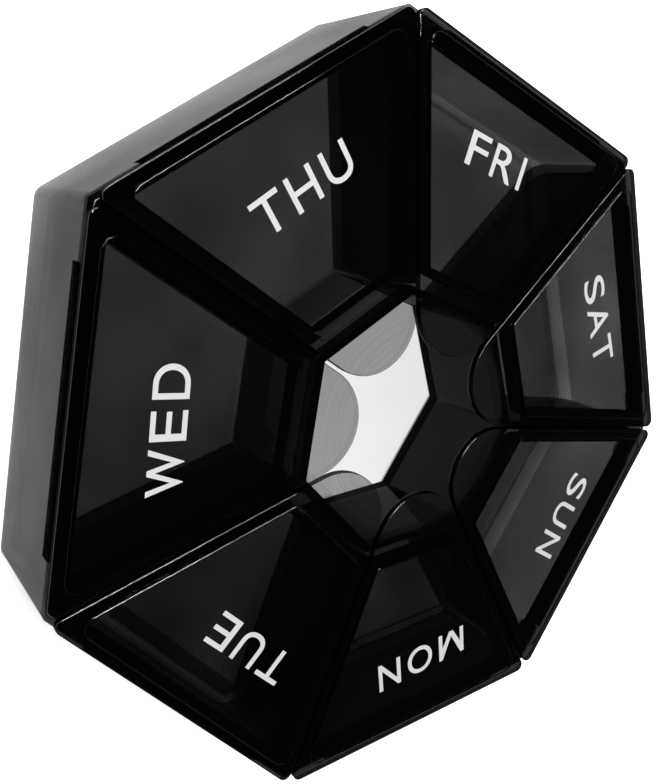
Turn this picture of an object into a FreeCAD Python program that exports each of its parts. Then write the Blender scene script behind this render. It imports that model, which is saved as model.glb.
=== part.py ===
import FreeCAD, Part
import math
import os

# Seven-sided weekly pill organizer: a tray of seven wedge compartments round a through-hole, and seven flip
# lids, each hinged along its outer edge and reaching over the hole with a round thumb tab.
# Millimetres, +Z up. The origin is on the axis of the hole, in the plane of the foot. One corner of the seven
# lies on +Y, and the days run clockwise from it.

Vector = FreeCAD.Vector

DAYS = ["friday", "saturday", "sunday", "monday", "tuesday", "wednesday", "thursday"]

# Overall sizes.
corner_reach = 60.0        # axis to an outer corner, before the corner is rounded
corner_round = 2.0         # radius of the upright outer corners of the tray
lid_corner_round = 1.2     # radius of the two outer corners of a lid
rim_top = 24.0             # foot to the top of the lids' rims

# Tray.
outer_wall = 1.5           # thickness of the outer walls
floor_recess = 1.9         # foot to the underside of the floor
floor_thickness = 1.1
cove_radius = 3.0          # inside round between the floor and an outer wall
hole_apothem_top = 18.2    # axis to the hole's walls, at their top
hole_apothem_foot = 19.1   # axis to the hole's walls, at the underside of the floor
hole_wall = 1.2            # thickness of the walls round the hole
divider_half_top = 0.7     # half the thickness of a divider, at its top
divider_half_foot = 1.1    # half the thickness of a divider, at the floor

# Lids.
lid_wall = 1.2             # thickness of the rim, the panel and the tab
seam_half = 0.3            # lid edge to the middle of the seam between two lids
tab_tip = 11.55            # axis to the tip of a thumb tab
panel_inset = 1.6          # lid edge to the raised panel, along the three straight edges
panel_rise = 0.45          # height of the panel above the rim
panel_corner = 1.8         # radius of the panel's two outer corners
panel_hole_margin = 1.2    # window edge to panel edge, on the side of the hole
panel_hole_corner = 0.8    # radius of the panel's two inner corners
window_corner = 0.6        # radius in the corners of the rib frame
rib_width = 1.1
rib_drop = 2.3             # underside of the rim to the foot of the ribs
rib_side_gap = 1.05        # side of a divider, at its top, to the rib beside it
rib_hole_gap = 2.4         # wall of the hole, at its top, to the rib beside it

# Hinges.
ear_radius = 1.13          # round top of the ears at both ends of each outer wall
barrel_half = 18.2         # half the length of a lid's hinge barrel
barrel_proud = 0.3         # how far the barrel stands out beyond the ears, all round
pin_radius = 0.6           # stub pins at both ends of the barrel
pin_length = 1.9           # end of the barrel to the end of a stub pin
pin_clearance = 0.05       # radial, between a stub pin and its bore
end_clearance = 0.3        # along the hinge, between barrel and ear, and beyond the end of a pin
seat_clearance = 0.15      # between a closed lid and the tops of the walls
swing_clearance = 0.3      # between the barrel and the wall below it

# Worked out from the sizes above.
sector = 2.0 * math.pi / len(DAYS)
half_sector = sector / 2.0
outer_apothem = corner_reach * math.cos(half_sector)
inner_apothem = outer_apothem - outer_wall
floor_top = floor_recess + floor_thickness
lid_under = rim_top - lid_wall
wall_top = lid_under - seat_clearance
hinge_apothem = outer_apothem - ear_radius
hinge_height = wall_top - ear_radius
barrel_radius = ear_radius + barrel_proud
notch_height = hinge_height - barrel_radius - swing_clearance
ear_start = barrel_half + end_clearance
rib_foot = lid_under - rib_drop
rib_flank = divider_half_top + rib_side_gap
rib_inner = hole_apothem_top + hole_wall + rib_hole_gap
window_flank = rib_flank + rib_width
window_inner = rib_inner + rib_width
window_outer = hinge_apothem - barrel_radius
panel_inner = window_inner - panel_hole_margin
panel_outer = outer_apothem - panel_inset
panel_flank = seam_half + panel_inset
tab_radius = (tab_tip * math.sin(half_sector) - seam_half) / (1.0 - math.sin(half_sector))
beyond = corner_reach + ear_radius      # a distance past every part of the tray


def corner_angle(index):
    """Direction of a corner, in radians. Corner 0 is on +Y and the rest follow clockwise."""
    return math.pi / 2.0 - index * sector


def turned(shape, angle):
    """The shape turned about the axis of the hole, angle in radians."""
    copy = shape.copy()
    copy.rotate(Vector(0, 0, 0), Vector(0, 0, 1), math.degrees(angle))
    return copy


def rounded_wire(corners, radii):
    """A flat closed wire through the corners, each corner rounded by its radius."""
    starts = []
    middles = []
    ends = []
    for index, corner in enumerate(corners):
        to_last = (corners[index - 1] - corner).normalize()
        to_next = (corners[(index + 1) % len(corners)] - corner).normalize()
        half_angle = to_last.getAngle(to_next) / 2.0
        trim = radii[index] / math.tan(half_angle)
        inward = (to_last + to_next).normalize()
        depth = radii[index] / math.sin(half_angle) - radii[index]
        starts.append(corner + to_last * trim)
        middles.append(corner + inward * depth)
        ends.append(corner + to_next * trim)
    edges = []
    for index in range(len(corners)):
        if radii[index] > 0:
            edges.append(Part.Arc(starts[index], middles[index], ends[index]).toShape())
        edges.append(Part.makeLine(ends[index], starts[(index + 1) % len(corners)]))
    return Part.Wire(edges)


def slab(wire, low, high):
    """A solid of the wire's outline, from height low to height high."""
    face = Part.Face(wire)
    face.translate(Vector(0, 0, low))
    return face.extrude(Vector(0, 0, high - low))


def ring_corners(apothem, height=0.0):
    """The corners of a seven-sided outline, given the distance from the axis to its sides."""
    reach = apothem / math.cos(half_sector)
    angles = [corner_angle(index) for index in range(len(DAYS))]
    return [Vector(reach * math.cos(angle), reach * math.sin(angle), height) for angle in angles]


def ring_slab(apothem, low, high, radius=0.0):
    """A seven-sided prism round the axis."""
    return slab(rounded_wire(ring_corners(apothem), [radius] * len(DAYS)), low, high)


def ring_taper(apothem_low, apothem_high, low, high):
    """A seven-sided block round the axis whose sides lean."""
    foot = Part.makePolygon(ring_corners(apothem_low, low) + ring_corners(apothem_low, low)[:1])
    top = Part.makePolygon(ring_corners(apothem_high, high) + ring_corners(apothem_high, high)[:1])
    return Part.makeLoft([foot, top], True, True)


def half_width(distance, flank):
    """Half the width of a wedge at a distance from the axis, its sides set in by flank from the seams."""
    return distance * math.tan(half_sector) - flank / math.cos(half_sector)


def wedge_corners(inner, outer, flank):
    """Four corners of a wedge cut short towards the hole. X points outwards from the hole."""
    inner_half = half_width(inner, flank)
    outer_half = half_width(outer, flank)
    return [
        Vector(inner, inner_half, 0),
        Vector(inner, -inner_half, 0),
        Vector(outer, -outer_half, 0),
        Vector(outer, outer_half, 0),
    ]


def sector_space():
    """All the space between two seams, round the X direction."""
    half = half_width(beyond, 0)
    corners = [Vector(0, 0, 0), Vector(beyond, -half, 0), Vector(beyond, half, 0)]
    return slab(Part.makePolygon(corners + corners[:1]), 0, rim_top)


def hinge_rod(radius, start, end):
    """A rod along the hinge axis of the sector that points along X."""
    return Part.makeCylinder(radius, end - start, Vector(hinge_apothem, start, hinge_height), Vector(0, 1, 0))


def both_ends(shape):
    """The shape and its mirror image at the other end of the hinge."""
    return shape.fuse(shape.mirror(Vector(0, 0, 0), Vector(0, 1, 0)))


def make_ears():
    """Two ears for one outer wall: upright blocks with round tops, mitred at the corners of the tray."""
    round_top = hinge_rod(ear_radius, ear_start, beyond)
    block = Part.makeBox(
        2.0 * ear_radius,
        beyond - ear_start,
        hinge_height - notch_height,
        Vector(hinge_apothem - ear_radius, ear_start, notch_height),
    )
    return both_ends(round_top.fuse(block)).common(sector_space())


def make_cove():
    """Inside round where one outer wall meets the floor."""
    wall_side = inner_apothem + outer_wall / 2.0
    floor_side = floor_top - floor_thickness / 2.0
    start = Vector(inner_apothem - cove_radius, 0, floor_top)
    end = Vector(inner_apothem, 0, floor_top + cove_radius)
    reach = cove_radius * math.sin(math.pi / 4.0)
    middle = Vector(start.x + reach, 0, end.z - reach)
    corners = [
        end,
        Vector(wall_side, 0, end.z),
        Vector(wall_side, 0, floor_side),
        Vector(start.x, 0, floor_side),
        start,
    ]
    edges = [Part.Arc(start, middle, end).toShape()]
    edges += [Part.makeLine(corners[index], corners[index + 1]) for index in range(len(corners) - 1)]
    run = 2.0 * half_width(wall_side, 0)
    section = Part.Face(Part.Wire(edges))
    section.translate(Vector(0, -run / 2.0, 0))
    return section.extrude(Vector(0, run, 0)).common(sector_space())


def make_divider():
    """One divider along X, from the wall of the hole to the corner of the tray. Its sides lean."""
    section = [
        Vector(0, -divider_half_foot, floor_recess),
        Vector(0, divider_half_foot, floor_recess),
        Vector(0, divider_half_foot, floor_top),
        Vector(0, divider_half_top, wall_top),
        Vector(0, -divider_half_top, wall_top),
        Vector(0, -divider_half_foot, floor_top),
    ]
    face = Part.Face(Part.makePolygon(section + section[:1]))
    start = (hole_apothem_foot + hole_wall / 2.0) / math.cos(half_sector)
    face.translate(Vector(start, 0, 0))
    return face.extrude(Vector(beyond - start, 0, 0))


def make_tray():
    """The tray: foot, outer walls, floor, dividers, walls of the hole and hinge ears, in one moulding."""
    envelope = ring_slab(outer_apothem, 0, rim_top, corner_round)
    walls = ring_slab(outer_apothem, 0, hinge_height).cut(ring_slab(inner_apothem, 0, hinge_height))
    floor = ring_slab(inner_apothem + outer_wall / 2.0, floor_recess, floor_top)
    hole_back_foot = hole_apothem_foot + hole_wall
    hole_back_top = hole_apothem_top + hole_wall
    hole_block = ring_taper(hole_back_foot, hole_back_top, floor_recess, wall_top)
    hole = ring_taper(hole_apothem_foot, hole_apothem_top, floor_recess, wall_top)

    ears = make_ears()
    cove = make_cove()
    divider = make_divider()
    divider_reach = ring_slab(hinge_apothem, 0, rim_top)
    notch_corner = Vector(inner_apothem - barrel_radius, -ear_start, notch_height)
    notch_depth = beyond - notch_corner.x
    notch = Part.makeBox(notch_depth, 2.0 * ear_start, rim_top - notch_height, notch_corner)
    bore_end = barrel_half + pin_length + end_clearance
    bores = both_ends(hinge_rod(pin_radius + pin_clearance, barrel_half, bore_end))

    added = [floor, hole_block]
    removed = [hole]
    for index in range(len(DAYS)):
        middle = corner_angle(index + 0.5)
        added.append(turned(divider, corner_angle(index)).common(divider_reach))
        added.append(turned(ears, middle))
        added.append(turned(cove, middle))
        removed.append(turned(notch, middle))
        removed.append(turned(bores, middle))
    return walls.fuse(added).cut(removed).common(envelope).removeSplitter()


def make_lid():
    """One lid, pointing along X: rim and thumb tab, raised panel, rib frame, hinge barrel and stub pins."""
    flat_half = half_width(outer_apothem, seam_half)
    rim_corners = [
        Vector(seam_half / math.sin(half_sector), 0, 0),
        Vector(outer_apothem, -flat_half, 0),
        Vector(outer_apothem, flat_half, 0),
    ]
    rim_radii = [tab_radius, lid_corner_round, lid_corner_round]
    rim = slab(rounded_wire(rim_corners, rim_radii), lid_under, rim_top)

    panel_radii = [panel_hole_corner, panel_hole_corner, panel_corner, panel_corner]
    panel_wire = rounded_wire(wedge_corners(panel_inner, panel_outer, panel_flank), panel_radii)
    panel = slab(panel_wire, rim_top, rim_top + panel_rise)
    window_wire = rounded_wire(wedge_corners(window_inner, window_outer, window_flank), [window_corner] * 4)
    window = slab(window_wire, rib_foot, rim_top + panel_rise - lid_wall)

    rib_corner = window_corner + rib_width
    rib_radii = [rib_corner, rib_corner, 0.0, 0.0]
    rib_wire = rounded_wire(wedge_corners(rib_inner, window_outer, rib_flank), rib_radii)
    ribs = slab(rib_wire, rib_foot, lid_under)

    barrel = hinge_rod(barrel_radius, -barrel_half, barrel_half)
    web_corner = Vector(window_outer, -barrel_half, rib_foot)
    web = Part.makeBox(barrel_radius, 2.0 * barrel_half, lid_under - rib_foot, web_corner)
    pins = hinge_rod(pin_radius, -barrel_half - pin_length, barrel_half + pin_length)
    return rim.fuse([panel, ribs]).cut(window).fuse([barrel, web, pins]).removeSplitter()


os.makedirs("parts", exist_ok=True)
make_tray().exportStep("parts/tray.step")
lid = make_lid()
for index, day in enumerate(DAYS):
    turned(lid, corner_angle(index + 0.5)).exportStep("parts/lid_" + day + ".step")
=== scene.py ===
import bmesh
import bpy
import math
from mathutils import Matrix, Vector


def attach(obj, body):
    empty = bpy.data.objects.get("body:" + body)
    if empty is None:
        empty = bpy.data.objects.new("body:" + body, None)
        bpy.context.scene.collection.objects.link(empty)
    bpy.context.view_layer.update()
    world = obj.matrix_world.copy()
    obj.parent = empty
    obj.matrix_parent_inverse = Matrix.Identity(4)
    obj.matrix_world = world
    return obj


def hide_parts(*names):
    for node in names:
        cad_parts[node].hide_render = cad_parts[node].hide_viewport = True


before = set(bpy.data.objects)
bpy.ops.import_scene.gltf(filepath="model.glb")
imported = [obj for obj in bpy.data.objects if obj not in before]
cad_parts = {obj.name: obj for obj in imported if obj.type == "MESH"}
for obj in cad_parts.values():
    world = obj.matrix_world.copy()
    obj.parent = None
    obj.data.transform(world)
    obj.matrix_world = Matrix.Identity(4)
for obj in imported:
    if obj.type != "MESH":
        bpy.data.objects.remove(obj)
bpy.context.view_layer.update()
scene = bpy.context.scene

# ---------------------------------------------------------------------------------------------------------
# Viewpoint. The box lies flat on a table and is seen from close above its Wednesday and Thursday sides, with
# the camera rolled over so that the corner between Thursday and Friday is uppermost.

mm = 0.001
camera_place = Vector((-76.84, 42.78, 118.45)) * mm
camera_turn = (math.radians(-15.781), math.radians(-33.213), math.radians(-2.157))
camera_data = bpy.data.cameras.new("camera")
camera_data.lens = 38.235
camera_data.clip_start = 0.005
camera = bpy.data.objects.new("camera", camera_data)
camera.location = camera_place
camera.rotation_euler = camera_turn
scene.collection.objects.link(camera)
scene.camera = camera
scene.view_settings.view_transform = "Standard"
scene.cycles.transparent_max_bounces = 40
scene.cycles.max_bounces = 10

# ---------------------------------------------------------------------------------------------------------
# Table and studio. A wide white table carries the box. It glows with painted light, most under the hole and
# elsewhere rising from one corner to the other, seen by the camera, in the gloss of the plastic and through
# it.
# Round the box it glows more for the camera alone, so the shadow on it is pale. The room is pale round the
# horizon, dark overhead and white behind the box, and two softboxes light it.

days = ["friday", "saturday", "sunday", "monday", "tuesday", "wednesday", "thursday"]
sector = 2 * math.pi / len(days)
table_size = 6.0
table_mesh = bpy.data.meshes.new("table")
table_shape = bmesh.new()
bmesh.ops.create_grid(table_shape, x_segments=1, y_segments=1, size=table_size / 2)
table_shape.to_mesh(table_mesh)
table_shape.free()
table = bpy.data.objects.new("table", table_mesh)
scene.collection.objects.link(table)


def empty_tree(owner):
    """The node tree of a new material or world, emptied."""
    owner.use_nodes = True
    owner.node_tree.nodes.clear()
    return owner.node_tree


def add_node(tree, kind, values=None, sources=None, **settings):
    """Adds a shader node, with the values of its inputs and the outputs that feed its inputs."""
    node = tree.nodes.new("ShaderNode" + kind)
    for setting, value in settings.items():
        setattr(node, setting, value)
    for place, value in (values or {}).items():
        node.inputs[place].default_value = value
    for place, output in (sources or {}).items():
        tree.links.new(output, node.inputs[place])
    return node


def in_range(tree, value, low, high, at_low, at_high, interpolation="LINEAR"):
    """A value that goes from one level to another between two places, and stays level beyond them."""
    levels = {"From Min": low, "From Max": high, "To Min": at_low, "To Max": at_high}
    ranged = add_node(tree, "MapRange", levels, {"Value": value}, interpolation_type=interpolation)
    return ranged.outputs["Result"]


def join(tree, operation, first, second):
    """The sum, product, larger or smaller of two values. The second may be a plain number."""
    joined = add_node(tree, "Math", {}, {0: first}, operation=operation)
    if isinstance(second, (int, float)):
        joined.inputs[1].default_value = second
    else:
        tree.links.new(second, joined.inputs[1])
    return joined.outputs[0]


def along(tree, vector, direction):
    """How far a vector reaches in a direction."""
    product = add_node(tree, "VectorMath", {1: direction}, {0: vector}, operation="DOT_PRODUCT")
    return product.outputs["Value"]


def side_angle(day):
    """The angle from +X to the middle of a day's outer wall."""
    return math.pi / 2 - (days.index(day) + 0.5) * sector


def side_way(day):
    """The direction from the hole towards the middle of a day's outer wall."""
    return Vector((math.cos(side_angle(day)), math.sin(side_angle(day)), 0))


# The painted light under the hole stands in for lamp light there. It reaches less far under the sides nearest
# the camera, where it would show in the floors.
hole_painted_light = 0.79
hole_painted_light_reach = 20.5 * mm
near_painted_light_reach = 13 * mm
near_days = ("tuesday", "wednesday", "thursday")
# The painted light round the box, for the camera alone, pales the box's shadow. It starts at the foot of its
# walls, and grows with the distance from the box.
box_reach = (53.5 * mm, 54.5 * mm)
box_painted_light = 0.8
far_reach = (150 * mm, 700 * mm)
far_white = 0.35
# Under the tray a painted light grows from one corner to the other, in place of the lamp light that would
# come in through the walls on that side and light the table under the floors.
slope_way = (0.5, 0.87, 0)
slope_reach = 50 * mm
slope_painted_light = (0.04, 0.35)
paper_white = 0.82
# Under the hole the paper itself is dark, so that the lamps' shading there hardly shows and the painted light
# sets its brightness.
paper_dark_under_hole_light = 0.1

white_paper = bpy.data.materials.new("white_paper")
paper_tree = empty_tree(white_paper)
paper_place = add_node(paper_tree, "TexCoord").outputs["Object"]
paper_path = add_node(paper_tree, "LightPath").outputs
from_middle = add_node(paper_tree, "VectorMath", {}, {0: paper_place}, operation="LENGTH").outputs["Value"]
across_slope = along(paper_tree, paper_place, slope_way)
across_hole = None
across_box = None
for day in days:
    painted_light_reach = near_painted_light_reach if day in near_days else hole_painted_light_reach
    past_hole = along(paper_tree, paper_place, side_way(day) / painted_light_reach)
    past_box = along(paper_tree, paper_place, side_way(day))
    across_hole = join(paper_tree, "MAXIMUM", across_hole, past_hole) if across_hole else past_hole
    across_box = join(paper_tree, "MAXIMUM", across_box, past_box) if across_box else past_box
# Painted light that rises from one corner to the other.
slope = in_range(paper_tree, across_slope, -slope_reach, slope_reach, *slope_painted_light)
# Painted light under the hole, seen by the camera, in the gloss of the plastic and through it.
in_hole = in_range(paper_tree, across_hole, 0.99, 1.01, hole_painted_light, 0.0)
# Painted light round the box, which pales its shadow.
round_box = in_range(paper_tree, across_box, *box_reach, 0.0, box_painted_light)
far_off = in_range(paper_tree, from_middle, *far_reach, 0.0, far_white)
round_box = join(paper_tree, "ADD", round_box, far_off)
round_box = join(paper_tree, "MULTIPLY", round_box, paper_path["Is Camera Ray"])
level = join(paper_tree, "ADD", join(paper_tree, "MAXIMUM", slope, in_hole), round_box)
seen = join(paper_tree, "MAXIMUM", paper_path["Is Camera Ray"], paper_path["Is Glossy Ray"])
seen = join(paper_tree, "MAXIMUM", seen, paper_path["Is Transmission Ray"])
glow = join(paper_tree, "MULTIPLY", level, seen)
paper_glow = add_node(paper_tree, "Emission", {"Color": (1, 1, 1, 1)}, {"Strength": glow}).outputs[0]
paper_colour = in_range(paper_tree, across_hole, 0.99, 1.01, paper_dark_under_hole_light, paper_white)
paper_matt = add_node(paper_tree, "BsdfDiffuse", {}, {"Color": paper_colour}).outputs[0]
paper_sum = add_node(paper_tree, "AddShader", {}, {0: paper_matt, 1: paper_glow}).outputs[0]
add_node(paper_tree, "OutputMaterial", {}, {"Surface": paper_sum})
table_mesh.materials.append(white_paper)

horizon_level = 0.48
overhead_level = 0.016
horizon_height = math.sin(math.radians(12))
room = bpy.data.worlds.new("room")
scene.world = room
room_tree = empty_tree(room)
room_way = add_node(room_tree, "TexCoord").outputs["Generated"]
room_up = add_node(room_tree, "SeparateXYZ", {}, {0: room_way}).outputs["Z"]
room_level = in_range(room_tree, room_up, 0.0, horizon_height, horizon_level, overhead_level, "SMOOTHSTEP")
camera_ray = add_node(room_tree, "LightPath").outputs["Is Camera Ray"]
room_seen = join(room_tree, "MAXIMUM", room_level, camera_ray)
room_glow = add_node(room_tree, "Background", {"Color": (1, 1, 1, 1)}, {"Strength": room_seen}).outputs[0]
add_node(room_tree, "OutputWorld", {}, {"Surface": room_glow})


def add_lamp(name, azimuth, elevation, distance, half_width, half_height, radiance):
    """A softbox aimed at the box. Azimuth is counted from +X towards +Y, and all angles are in degrees."""
    lamp = bpy.data.lights.new(name, "AREA")
    lamp.shape = "RECTANGLE"
    lamp.size = 2 * distance * math.tan(math.radians(half_width))
    lamp.size_y = 2 * distance * math.tan(math.radians(half_height))
    lamp.energy = radiance * math.pi * lamp.size * lamp.size_y
    softbox = bpy.data.objects.new(name, lamp)
    flat = math.cos(math.radians(elevation))
    direction = Vector((
        flat * math.cos(math.radians(azimuth)),
        flat * math.sin(math.radians(azimuth)),
        math.sin(math.radians(elevation)),
    ))
    softbox.location = direction * distance
    softbox.rotation_euler = direction.to_track_quat("Z", "Y").to_euler()
    scene.collection.objects.link(softbox)


add_lamp("overhead_lamp", azimuth=80, elevation=75, distance=1.2, half_width=6, half_height=6, radiance=38)
add_lamp("key_lamp", azimuth=94, elevation=40, distance=0.9, half_width=13, half_height=4, radiance=52)

# ---------------------------------------------------------------------------------------------------------
# Tray. One moulding of clear smoke-black polystyrene: seven pockets round a through-hole, with coves round
# the floors and ears for the hinges. It is the CAD solid, merged into clean faces, each with its own finish,
# some of which are painted shade.

noise_low = 0.3
noise_high = 0.7
cloud_scale = 45.0
smear_scale = 90.0
smear_roughness = (0.005, 0.035)
brush_inside = 17 * mm
brush_outside = 20 * mm
brush_roughness = 0.3
mark_scale = 60.0
mark_pitch = 110.0
gloss_mark_levels = (0.7, 1.8)
clear_mark_levels = (0.84, 1.16)
polystyrene_index = 1.59
sharp_angle = math.radians(40)


def smoke_plastic(name, absorption, cloud):
    """Polished see-through smoke plastic. Each face has an attribute, finish_and_painted_shade: the share of
    the light that it lets in, the share that it lets out, and its polish. On some faces of the tray the
    shares are painted shade. A polish above 1 is a face that is brushed where it is over the hole, with fine
    marks that run round the middle of the box. Thick parts let little through."""
    plastic = bpy.data.materials.new(name)
    tree = empty_tree(plastic)
    finish_and_painted_shade = add_node(tree, "Attribute", attribute_name="finish_and_painted_shade").outputs["Vector"]
    parts = add_node(tree, "SeparateXYZ", {}, {0: finish_and_painted_shade}).outputs
    backfacing = add_node(tree, "NewGeometry").outputs["Backfacing"]
    place = add_node(tree, "TexCoord").outputs["Object"]

    cloud_values = {"Scale": cloud_scale, "Detail": 4.0}
    clouds = add_node(tree, "TexNoise", cloud_values, {"Vector": place}).outputs["Fac"]
    cloud_level = in_range(tree, clouds, noise_low, noise_high, 1.0 - cloud, 1.0 + cloud)

    flattened = add_node(tree, "VectorMath", {1: (1, 1, 0)}, {0: place}, operation="MULTIPLY")
    flat_place = flattened.outputs["Vector"]
    from_middle = add_node(tree, "VectorMath", {}, {0: flat_place}, operation="LENGTH").outputs["Value"]
    brushed = in_range(tree, parts["Z"], 1.0, 2.0, 0.0, 1.0)
    over_hole = in_range(tree, from_middle, brush_inside, brush_outside, 1.0, 0.0)
    brush_share = join(tree, "MULTIPLY", brushed, over_hole)
    mark_place = {"Vector": flat_place, "W": join(tree, "MULTIPLY", from_middle, mark_pitch)}
    mark_values = {"Scale": mark_scale, "Detail": 3.0}
    marks = add_node(tree, "TexNoise", mark_values, mark_place, noise_dimensions="4D").outputs["Fac"]

    def marked(levels):
        """The marks between two levels on a brushed face, and 1 elsewhere."""
        level = in_range(tree, marks, noise_low, noise_high, *levels)
        return add_node(tree, "Mix", {"A": 1.0}, {"Factor": brush_share, "B": level}).outputs["Result"]

    in_or_out = {"Factor": backfacing, "A": parts["X"], "B": parts["Y"]}
    passes = add_node(tree, "Mix", {}, in_or_out).outputs["Result"]
    passes = join(tree, "MULTIPLY", passes, cloud_level)
    passes = join(tree, "MULTIPLY", passes, marked(clear_mark_levels))
    clear = add_node(tree, "BsdfTransparent", {}, {"Color": passes}).outputs[0]

    smear_values = {"Scale": smear_scale, "Detail": 5.0}
    smear = add_node(tree, "TexNoise", smear_values, {"Vector": place}).outputs["Fac"]
    roughness = in_range(tree, smear, 0.0, 1.0, *smear_roughness)
    roughness = join(tree, "ADD", roughness, join(tree, "MULTIPLY", brush_share, brush_roughness))
    gloss = add_node(tree, "BsdfAnisotropic", {}, {"Roughness": roughness}).outputs[0]

    outside = add_node(tree, "Math", {0: 1.0}, {1: backfacing}, operation="SUBTRACT").outputs[0]
    reflects = add_node(tree, "Fresnel", {"IOR": polystyrene_index}).outputs[0]
    reflects = join(tree, "MULTIPLY", reflects, outside)
    polish = join(tree, "MULTIPLY", join(tree, "MINIMUM", parts["Z"], 1.0), marked(gloss_mark_levels))
    polish = join(tree, "MULTIPLY", polish, cloud_level)
    reflects = join(tree, "MULTIPLY", reflects, polish)
    surface = add_node(tree, "MixShader", {}, {"Fac": reflects, 1: clear, 2: gloss}).outputs[0]
    inside = add_node(tree, "VolumeAbsorption", {"Color": (0, 0, 0, 1), "Density": absorption}).outputs[0]
    add_node(tree, "OutputMaterial", {}, {"Surface": surface, "Volume": inside})
    return plastic


def finish_piece(shape, name, material, face_finish_and_shade):
    """Makes an object of the shape, smooth across gentle edges, and gives each face its finish, which on some
    faces of the tray is painted shade.
    """
    finish_and_painted_shade = shape.faces.layers.float_vector.new("finish_and_painted_shade")
    for face in shape.faces:
        face.smooth = True
        face[finish_and_painted_shade] = face_finish_and_shade(face)
    mesh = bpy.data.meshes.new(name)
    shape.to_mesh(mesh)
    shape.free()
    mesh.set_sharp_from_angle(angle=sharp_angle)
    mesh.materials.append(material)
    piece = bpy.data.objects.new(name, mesh)
    scene.collection.objects.link(piece)
    even = piece.modifiers.new("even", "WEIGHTED_NORMAL")
    even.mode = "FACE_AREA"
    even.weight = 100
    even.keep_sharp = True
    return piece


def cut_shape(shape, place, way):
    """Cuts the faces of a shape along a plane, and keeps both sides."""
    everything = list(shape.verts) + list(shape.edges) + list(shape.faces)
    bmesh.ops.bisect_plane(shape, geom=everything, plane_co=place, plane_no=way, dist=same_place)


tray_smoke = smoke_plastic("tray_smoke", absorption=150, cloud=0.2)
merge_distance = 0.002 * mm
same_place = 0.001 * mm
flat_angle = math.radians(0.5)
tray_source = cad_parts["tray"].data.copy()
for layer in [layer.name for layer in tray_source.attributes if "normal" in layer.name]:
    tray_source.attributes.remove(tray_source.attributes[layer])
tray_shape = bmesh.new()
tray_shape.from_mesh(tray_source)
bpy.data.meshes.remove(tray_source)
bmesh.ops.remove_doubles(tray_shape, verts=tray_shape.verts, dist=merge_distance)
bmesh.ops.dissolve_limit(tray_shape, angle_limit=flat_angle, verts=tray_shape.verts, edges=tray_shape.edges)
# The tray is cut level near the foot and the head of the hole's walls, so that those bands get finishes of
# their own: painted shadow at the foot.
hole_foot = 4.3 * mm
hole_head = 20.6 * mm
for height in (hole_foot, hole_head):
    cut_shape(tray_shape, (0, 0, height), (0, 0, 1))
wall_tops = 15.0 * mm
hole_reach = 21.0 * mm
stand_foot = 2.0 * mm
outer_reach = 50.0 * mm
dark_side_reach = 47.0 * mm
far_pockets = 25.0 * mm
wednesday_hole_wall = -17.0 * mm
# Finishes: the share of the light let in, the share let out, and the polish. The band at the foot of the
# hole's wall is painted shadow, dark for the shade under the tray, and the Wednesday pocket's wall at the
# hole is painted shade, darker than the other pockets' walls so that the light of the hole doesn't show
# through it.
hole_foot_painted_shadow = (0.02, 0.3, 0.02)
hole_head_finish = (0.03, 0.03, 0.1)
hole_side_finish = (0.05, 0.3, 0.2)
pocket_side_finish = (0.37, 0.3, 0.3)
wednesday_side_painted_shade = (0.08, 0.3, 0.3)
outer_top_finish = (0.3, 0.3, 0.4)
inner_top_finish = (0.1, 0.1, 0.4)
stand_finish = (0.9, 0.9, 0.0)
divider_finish = (0.06, 0.06, 0.4)
floor_polish = 0.5
cove_polish = 0.15
outer_polish = 0.45
# The share that floors and outer walls let in and out, on each side of the box. These shares are painted
# shade:
# the plastic is the same all round, and the floors and walls on the Monday and Tuesday sides let less through
# for the box's shade there, those on the far side more.
floor_shares_painted_shade = {"monday": 0.17, "tuesday": 0.24, "far": 0.6, "near": 0.54}
outer_shares_painted_shade = {"monday": 0.06, "tuesday": 0.2, "far": 0.3, "near": 0.27}


def side_of_box(middle, far_from):
    """The side of the box that a floor or an outer wall is on."""
    if middle.dot(side_way("monday")) > dark_side_reach:
        return "monday"
    if middle.dot(side_way("tuesday")) > dark_side_reach:
        return "tuesday"
    return "far" if middle.x > far_from else "near"


def tray_finish_and_shade(face):
    """Walls of the hole, tops of walls, floors and coves, the foot, outer walls and last the dividers. The
    foot of the hole's wall, the Wednesday pocket's wall at the hole, and the floors and outer walls by side
    are painted shade.
    """
    middle = face.calc_center_median()
    outward = face.normal.xy.dot(middle.xy.normalized())
    if middle.xy.length < hole_reach and middle.z > stand_foot:
        # Painted shadow: the foot of the hole's wall is dark for the shade under the tray.
        if middle.z < hole_foot and outward < 0:
            return hole_foot_painted_shadow
        if middle.z > hole_head:
            return hole_head_finish
        if outward < -0.5:
            return hole_side_finish
        if outward > 0.5:
            # Painted shade: the Wednesday pocket's wall at the hole lets in less light than the others.
            return wednesday_side_painted_shade if middle.x < wednesday_hole_wall else pocket_side_finish
    if face.normal.z > 0.2 and middle.z > wall_tops:
        return outer_top_finish if middle.xy.length > outer_reach else inner_top_finish
    if abs(face.normal.z) > 0.2:
        # Painted shade: floors let less through on the Monday and Tuesday sides.
        share = floor_shares_painted_shade[side_of_box(middle, far_pockets)]
        return (share, share, floor_polish if abs(face.normal.z) > 0.98 else cove_polish)
    if abs(outward) > 0.7:
        if middle.z < stand_foot:
            return stand_finish
        # Painted shade: outer walls let less through on the Monday and Tuesday sides.
        share = outer_shares_painted_shade[side_of_box(middle, 0)]
        return (share, share, outer_polish)
    return divider_finish


tray = finish_piece(tray_shape, "tray_moulding", tray_smoke, tray_finish_and_shade)
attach(tray, "tray")
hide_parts("tray")

# ---------------------------------------------------------------------------------------------------------
# Lids. Each is one moulding of the same smoke plastic: a rim that runs into a round thumb tab, a raised
# panel, and a rib frame underneath. The top edges are rounded and catch the light as thin bright lines.

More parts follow.
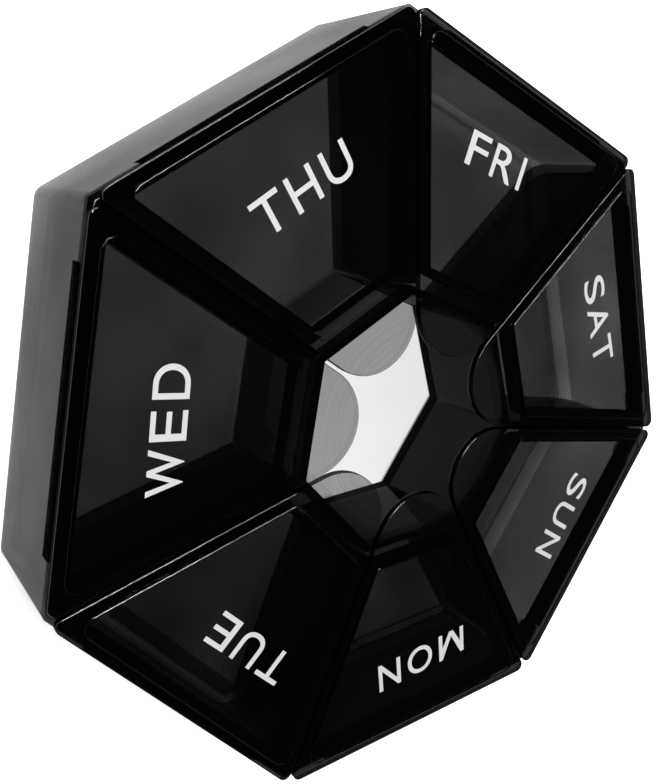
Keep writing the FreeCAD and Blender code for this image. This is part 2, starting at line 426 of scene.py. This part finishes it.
half_sector = sector / 2
corner_reach = 60.0 * mm
outer_apothem = corner_reach * math.cos(half_sector)
rim_top = 24.0 * mm
rim_under = 22.8 * mm
rib_foot = 20.5 * mm
panel_top = 24.42 * mm
panel_under = 23.25 * mm
seam_half = 0.3 * mm
tab_tip = 11.55 * mm
corner_round = 1.2 * mm
panel_inset = 1.6 * mm
panel_inner = 21.7 * mm
rib_flank = 1.75 * mm
rib_inner = 21.8 * mm
rib_outer = 51.65 * mm
window_flank = 2.85 * mm
window_inner = 22.9 * mm
window_outer = 51.5 * mm
edge_round = 0.17 * mm
edge_steps = 4
panel_hole_round = 0.8 * mm
panel_outer_round = 1.8 * mm
rib_hole_round = 1.7 * mm
rib_outer_round = 0.2 * mm
window_round = 0.3 * mm
rib_at_hinge = 50.5 * mm
rib_foot_depth = 0.1 * mm
ledge_depth = 0.01 * mm
arc_steps = 8
tab_steps = 24
# Finishes: the share of the light let in, the share let out, and the polish.
clear_finish = (0.69, 0.69, 1.0)
brushed_finish = (0.69, 0.69, 2.0)
black_finish = (0.03, 0.03, 0.0)
rib_at_hinge_finish = (0.3, 0.3, 0.0)
upright_finish = (0.05, 0.012, 0.05)
tab_upright_finish = (0.05, 0.6, 0.05)
rounded_finish = (0.05, 0.05, 1.0)
tab_rounded_finish = (0.05, 0.6, 1.0)


def half_width(distance, flank):
    """Half the width of a lid at a distance from the middle of the box, its sides set in from the seams."""
    return distance * math.tan(half_sector) - flank / math.cos(half_sector)


def wedge(inner, outer, flank):
    """The four corners of a wedge cut short towards the hole."""
    near = half_width(inner, flank)
    far = half_width(outer, flank)
    corners = ((inner, near, 0), (inner, -near, 0), (outer, -far, 0), (outer, far, 0))
    return [Vector(corner) for corner in corners]


def rounded_face(shape, corners, radii, height, steps=arc_steps):
    """A flat face whose corners are rounded, each arc spun round its own centre."""
    known = set(shape.edges)
    arcs = []
    for index, corner in enumerate(corners):
        to_last = (corners[index - 1] - corner).normalized()
        to_next = (corners[(index + 1) % len(corners)] - corner).normalized()
        half_angle = to_last.angle(to_next) / 2
        radius = radii[index]
        middle = corner + (to_last + to_next).normalized() * (radius / math.sin(half_angle))
        start = corner + to_last * (radius / math.tan(half_angle))
        middle.z = height
        start.z = height
        first = shape.verts.new(start)
        arc = bmesh.ops.spin(
            shape, geom=[first], cent=middle, axis=(0, 0, 1), angle=math.pi - 2 * half_angle, steps=steps
        )
        arcs.append((first, arc["geom_last"][0]))
    for before, after in zip(arcs[-1:] + arcs[:-1], arcs):
        shape.edges.new((before[1], after[0]))
    outline = [edge for edge in shape.edges if edge not in known]
    return bmesh.ops.contextual_create(shape, geom=outline)["faces"][0]


def fill_between(shape, outer_face, inner_face):
    """Replaces a flat face by one with a hole, and takes the inner face out of it."""
    outer_edges = list(outer_face.edges)
    inner_edges = list(inner_face.edges)
    bmesh.ops.delete(shape, geom=[outer_face], context="FACES_ONLY")
    bmesh.ops.triangle_fill(shape, edges=outer_edges + inner_edges, use_beauty=True)


def raise_face(shape, face, rise):
    """Extrudes a face along Z and returns the moved face."""
    made = bmesh.ops.extrude_face_region(shape, geom=[face])
    moved = [item for item in made["geom"] if isinstance(item, bmesh.types.BMVert)]
    bmesh.ops.translate(shape, verts=moved, vec=(0, 0, rise))
    if any(len(edge.link_faces) > 2 for edge in face.edges):
        bmesh.ops.delete(shape, geom=[face], context="FACES_ONLY")
    return next(item for item in made["geom"] if isinstance(item, bmesh.types.BMFace))


def round_edges(shape, edges, size, segments):
    """Rounds edges over."""
    bmesh.ops.bevel(
        shape, geom=edges, offset=size, offset_type="OFFSET", segments=segments, profile=0.5,
        affect="EDGES", clamp_overlap=True, material=-1,
    )


def flat_face(shape, height):
    """The largest level face at a height."""
    level = [
        face for face in shape.faces
        if abs(face.normal.z) > 0.99 and abs(face.calc_center_median().z - height) < same_place
    ]
    return max(level, key=lambda face: face.calc_area())


def make_lid_shape():
    """One lid that points along X."""
    shape = bmesh.new()
    tab_radius = (tab_tip * math.sin(half_sector) - seam_half) / (1 - math.sin(half_sector))
    far = half_width(outer_apothem, seam_half)
    rim_corners = [
        Vector((seam_half / math.sin(half_sector), 0, 0)),
        Vector((outer_apothem, -far, 0)),
        Vector((outer_apothem, far, 0)),
    ]
    rim_radii = [tab_radius, corner_round, corner_round]
    rim = rounded_face(shape, rim_corners, rim_radii, rim_under, steps=tab_steps)
    raise_face(shape, rim, rim_top - rim_under)
    bmesh.ops.recalc_face_normals(shape, faces=shape.faces)
    rims = [edge for edge in shape.edges if abs(edge.verts[0].co.z - edge.verts[1].co.z) < same_place]
    round_edges(shape, rims, edge_round, edge_steps)

    panel_radii = [panel_hole_round, panel_hole_round, panel_outer_round, panel_outer_round]
    panel_corners = wedge(panel_inner, outer_apothem - panel_inset, seam_half + panel_inset)
    panel = rounded_face(shape, panel_corners, panel_radii, rim_top)
    fill_between(shape, flat_face(shape, rim_top), panel)
    panel_face = raise_face(shape, panel, panel_top - rim_top)
    round_edges(shape, list(panel_face.edges), edge_round, edge_steps)

    rib_radii = [rib_hole_round, rib_hole_round, rib_outer_round, rib_outer_round]
    rib = rounded_face(shape, wedge(rib_inner, rib_outer, rib_flank), rib_radii, rim_under)
    fill_between(shape, flat_face(shape, rim_under), rib)
    rib_face = raise_face(shape, rib, rib_foot - rim_under)
    window_corners = wedge(window_inner, window_outer, window_flank)
    window = rounded_face(shape, window_corners, [window_round] * 4, rib_foot)
    fill_between(shape, rib_face, window)
    raise_face(shape, window, panel_under - rib_foot)
    cut_shape(shape, (rib_inner, 0, 0), (1, 0, 0))
    bmesh.ops.recalc_face_normals(shape, faces=shape.faces)
    return shape


def lid_finish(face):
    """The panel and the tab are clear, and the top of the tab is brushed. The rounded edges are black and
    shine. The upright faces, the rib frame and the ledge round it are black, but a little light comes
    through the frame at the hinge. The edges of the tab let out the light that is in it."""
    middle = face.calc_center_median()
    on_tab = middle.x < rib_inner
    if abs(face.normal.z) < 0.15:
        return tab_upright_finish if on_tab else upright_finish
    if abs(face.normal.z) < 0.98:
        return tab_rounded_finish if on_tab else rounded_finish
    if on_tab:
        return brushed_finish if face.normal.z > 0 else clear_finish
    if abs(middle.z - rim_under) < ledge_depth:
        return black_finish
    if middle.z < rib_foot + rib_foot_depth:
        return rib_at_hinge_finish if middle.x > rib_at_hinge else black_finish
    return clear_finish


def turn_out(piece, day):
    """Turns a piece that points along X to its own side of the box."""
    piece.data.transform(Matrix.Rotation(side_angle(day), 4, "Z"))


lid_smoke = smoke_plastic("lid_smoke", absorption=150, cloud=0.03)
for day in days:
    lid = finish_piece(make_lid_shape(), "lid_" + day + "_panel", lid_smoke, lid_finish)
    turn_out(lid, day)
    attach(lid, "lid_" + day)
    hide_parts("lid_" + day)

# ---------------------------------------------------------------------------------------------------------
# Hinges. Along the outer edge of each lid runs a moulded barrel with a stub pin at each end. The pins snap
# into the ears of the tray. The plastic is thick here, so it looks black.

hinge_inset = 1.13 * mm
hinge_apothem = outer_apothem - hinge_inset
hinge_height = 21.52 * mm
barrel_radius = 1.426 * mm
barrel_length = 36.4 * mm
pin_radius = 0.6 * mm
pins_length = 40.2 * mm
barrel_end_round = 0.12 * mm
barrel_end_steps = 2
barrel_sides = 40
pin_sides = 20
web_gap = 0.1 * mm
hinge_finish = (0.25, 0.25, 0.03)


def add_rod(shape, radius, length, segments):
    """A rod along the hinge line of a lid that points along X."""
    place = Matrix.Translation((hinge_apothem, 0, hinge_height)) @ Matrix.Rotation(math.pi / 2, 4, "X")
    bmesh.ops.create_cone(
        shape, cap_ends=True, segments=segments, radius1=radius, radius2=radius, depth=length, matrix=place
    )


def make_hinge_shape():
    """The barrel, the web that carries it and the two stub pins."""
    shape = bmesh.new()
    add_rod(shape, barrel_radius, barrel_length, barrel_sides)
    ends = [edge for edge in shape.edges if abs(edge.verts[0].co.y - edge.verts[1].co.y) < same_place]
    round_edges(shape, ends, barrel_end_round, barrel_end_steps)
    add_rod(shape, pin_radius, pins_length, pin_sides)
    web_width = hinge_apothem - window_outer - web_gap
    web_height = rim_under - rib_foot - web_gap
    web_middle = Vector((window_outer + web_gap + web_width / 2, 0, rib_foot + web_height / 2))
    web_place = Matrix.Translation(web_middle) @ Matrix.Diagonal((web_width, barrel_length, web_height, 1))
    bmesh.ops.create_cube(shape, size=1, matrix=web_place)
    return shape


hinge_smoke = smoke_plastic("hinge_smoke", absorption=300, cloud=0.1)
for day in days:
    hinge = finish_piece(make_hinge_shape(), "lid_" + day + "_hinge", hinge_smoke, lambda face: hinge_finish)
    turn_out(hinge, day)
    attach(hinge, "lid_" + day)
    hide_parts("lid_" + day)

# ---------------------------------------------------------------------------------------------------------
# Day names. Each lid carries its day in matt white ink, printed on the raised panel with the tops of the
# letters towards the hinge. The words all start at the same distance from the flank and rise a little.

letter_height = 5.0 * mm
word_foot = 38.45 * mm
word_start = 9.5 * mm
word_rise = math.radians(2.9)
ink_thickness = 0.02 * mm
ink_spread = 0.04 * mm
letter_widths = {
    "A": 1.04, "D": 0.91, "E": 0.80, "F": 0.80, "H": 0.89, "I": 0.155, "M": 1.10,
    "N": 0.89, "O": 1.04, "R": 0.91, "S": 0.85, "T": 0.94, "U": 0.89, "W": 1.26,
}
letter_margins = {
    "A": 0.09, "D": 0.15, "E": 0.14, "F": 0.12, "H": 0.16, "I": 0.16, "M": 0.16,
    "N": 0.16, "O": 0.15, "R": 0.13, "S": 0.11, "T": 0.09, "U": 0.16, "W": 0.06,
}
ink_grain = 2500
ink_shades = {"A": (0.58, 0.58, 0.58, 1), "B": (0.67, 0.67, 0.67, 1)}
# Shares of a letter's width: where its left stem ends, where its right half starts to move, and the way from
# where a half starts to move to where it has moved in full.
left_stem_end = 0.2
right_half_start = 0.65
way_to_moved = 0.15
# Shares of the height of an M, whose slanted strokes are brought down to a flat point at its foot.
point_half_width = 0.08
notch_foot = 0.17
shoulder = 0.57
point_below = 0.45
notch_below = 0.8
shoulder_between = (0.5, 0.9)

white_ink = bpy.data.materials.new("white_ink")
white_ink.use_nodes = True
ink_tree = white_ink.node_tree
ink_place = add_node(ink_tree, "TexCoord").outputs["Object"]
ink_cover = add_node(ink_tree, "TexNoise", {"Scale": ink_grain}, {"Vector": ink_place}).outputs["Fac"]
ink_shade = add_node(ink_tree, "Mix", ink_shades, {"Factor": ink_cover}, data_type="RGBA").outputs["Result"]
ink_surface = ink_tree.nodes["Principled BSDF"]
ink_surface.inputs["Roughness"].default_value = 0.5
ink_tree.links.new(ink_shade, ink_surface.inputs["Base Color"])


def widen(past_left, width, wanted):
    """Where a point of a letter goes when the letter is made wider and its stems keep their thickness."""
    share = past_left / width
    left_half = min(max((share - left_stem_end) / way_to_moved, 0), 1)
    right_half = min(max((share - right_half_start) / way_to_moved, 0), 1)
    return past_left + (wanted - width) * (left_half + right_half) / 2


def redraw_m(share, across, upward, middle):
    """Where a point of an M goes. Share is how far across the letter the point is, from 0 to 1."""
    between_stems = left_stem_end < share < 1 - left_stem_end
    if between_stems and upward < point_below * letter_height:
        return middle + math.copysign(point_half_width * letter_height, share - 0.5), 0
    if between_stems and upward < notch_below * letter_height:
        return across, notch_foot * letter_height
    lowest, highest = shoulder_between
    if not between_stems and lowest * letter_height < upward < highest * letter_height:
        return across, shoulder * letter_height
    return across, upward


def make_letter(letter):
    """A letter as a thin plate whose lower left corner is at the origin."""
    text = bpy.data.curves.new("letter", "FONT")
    text.body = letter
    writing = bpy.data.objects.new("letter", text)
    scene.collection.objects.link(writing)
    bpy.context.view_layer.update()
    drawn = bpy.context.evaluated_depsgraph_get()
    outline = writing.evaluated_get(drawn).to_curve(drawn).copy()
    bpy.data.objects.remove(writing)
    points = [point for spline in outline.splines for point in spline.bezier_points]
    left = min(point.co.x for point in points)
    foot = min(point.co.y for point in points)
    width = max(point.co.x for point in points) - left
    scale = (letter_height - 2 * ink_spread) / (max(point.co.y for point in points) - foot)
    wanted = (letter_height * letter_widths[letter] - 2 * ink_spread) / scale
    for point in points:
        moved = []
        for place in (point.handle_left, point.co, point.handle_right):
            past_left = place.x - left
            share = past_left / width
            across = (share * wanted if letter in "SI" else widen(past_left, width, wanted)) * scale
            upward = (place.y - foot) * scale
            if letter == "M":
                across, upward = redraw_m(share, across, upward, wanted * scale / 2)
            moved.append(Vector((across + ink_spread, upward + ink_spread, 0)))
        if point.handle_left_type != "VECTOR":
            point.handle_left_type = "FREE"
        if point.handle_right_type != "VECTOR":
            point.handle_right_type = "FREE"
        point.handle_left, point.co, point.handle_right = moved
    outline.offset = ink_spread
    outline.extrude = ink_thickness / 2
    plate = bpy.data.objects.new("letter", outline)
    scene.collection.objects.link(plate)
    bpy.context.view_layer.update()
    drawn = bpy.context.evaluated_depsgraph_get()
    letter_mesh = bpy.data.meshes.new_from_object(plate.evaluated_get(drawn))
    bpy.data.objects.remove(plate)
    return letter_mesh


for day in days:
    word_shape = bmesh.new()
    reach = 0
    for place, letter in enumerate(day[:3].upper()):
        reach += letter_height * letter_margins[letter] if place else 0
        letter_mesh = make_letter(letter)
        letter_mesh.transform(Matrix.Translation((reach, 0, 0)))
        word_shape.from_mesh(letter_mesh)
        reach += letter_height * (letter_widths[letter] + letter_margins[letter])
    word_mesh = bpy.data.meshes.new("lid_" + day + "_name")
    word_shape.to_mesh(word_mesh)
    word_shape.free()
    word_mesh.transform(Matrix.Rotation(word_rise - math.pi / 2, 4, "Z"))
    word_mesh.transform(Matrix.Translation((word_foot, word_start, panel_top + ink_thickness / 2)))
    word_mesh.materials.append(white_ink)
    name = bpy.data.objects.new("lid_" + day + "_name", word_mesh)
    scene.collection.objects.link(name)
    turn_out(name, day)
    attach(name, "lid_" + day)
